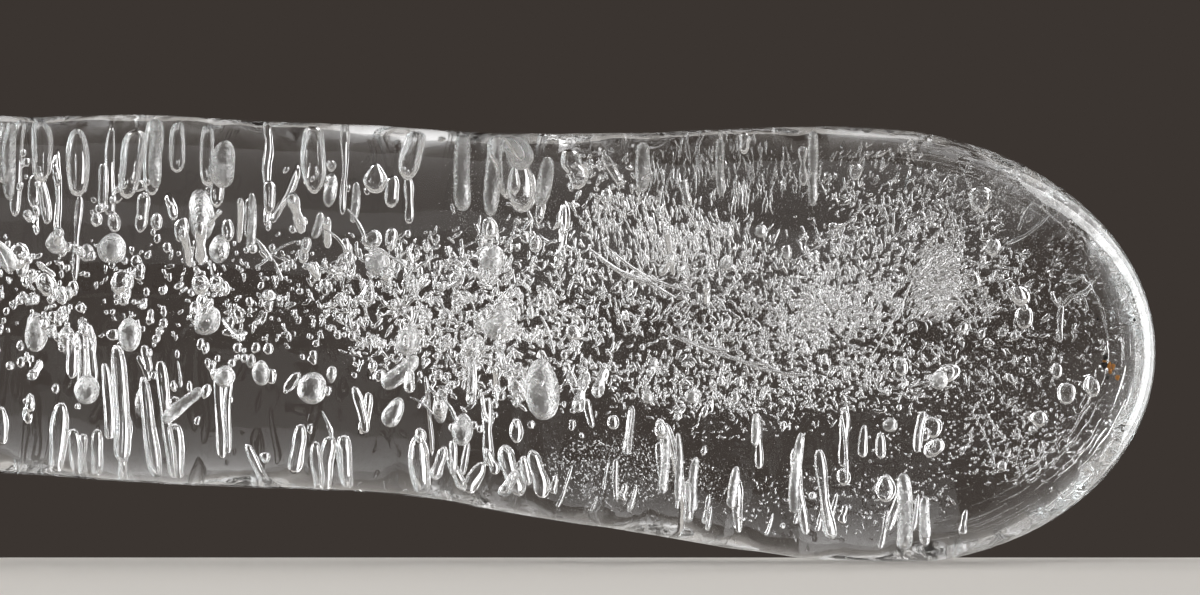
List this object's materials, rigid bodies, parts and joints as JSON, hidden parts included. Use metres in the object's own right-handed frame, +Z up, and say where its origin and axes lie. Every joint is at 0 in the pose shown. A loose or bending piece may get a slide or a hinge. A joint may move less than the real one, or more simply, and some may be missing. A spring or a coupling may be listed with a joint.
{
  "type": "icicle",
  "caption": "Clear, bubble-filled icicle with a blunt swollen tip and a snapped root, lying on its side.",
  "frame": {"origin": "on the resting surface, under the middle of the icicle's bounding box", "axes": "+X from the snapped root to the drip tip, +Z up from the resting surface, +Y across"},
  "size_m": [0.072, 0.0146, 0.0146],
  "materials": {
    "ice": "wet gloss"
  },
  "bodies": {
    "root": {"icicle": "ice"}
  },
  "joints": []
}
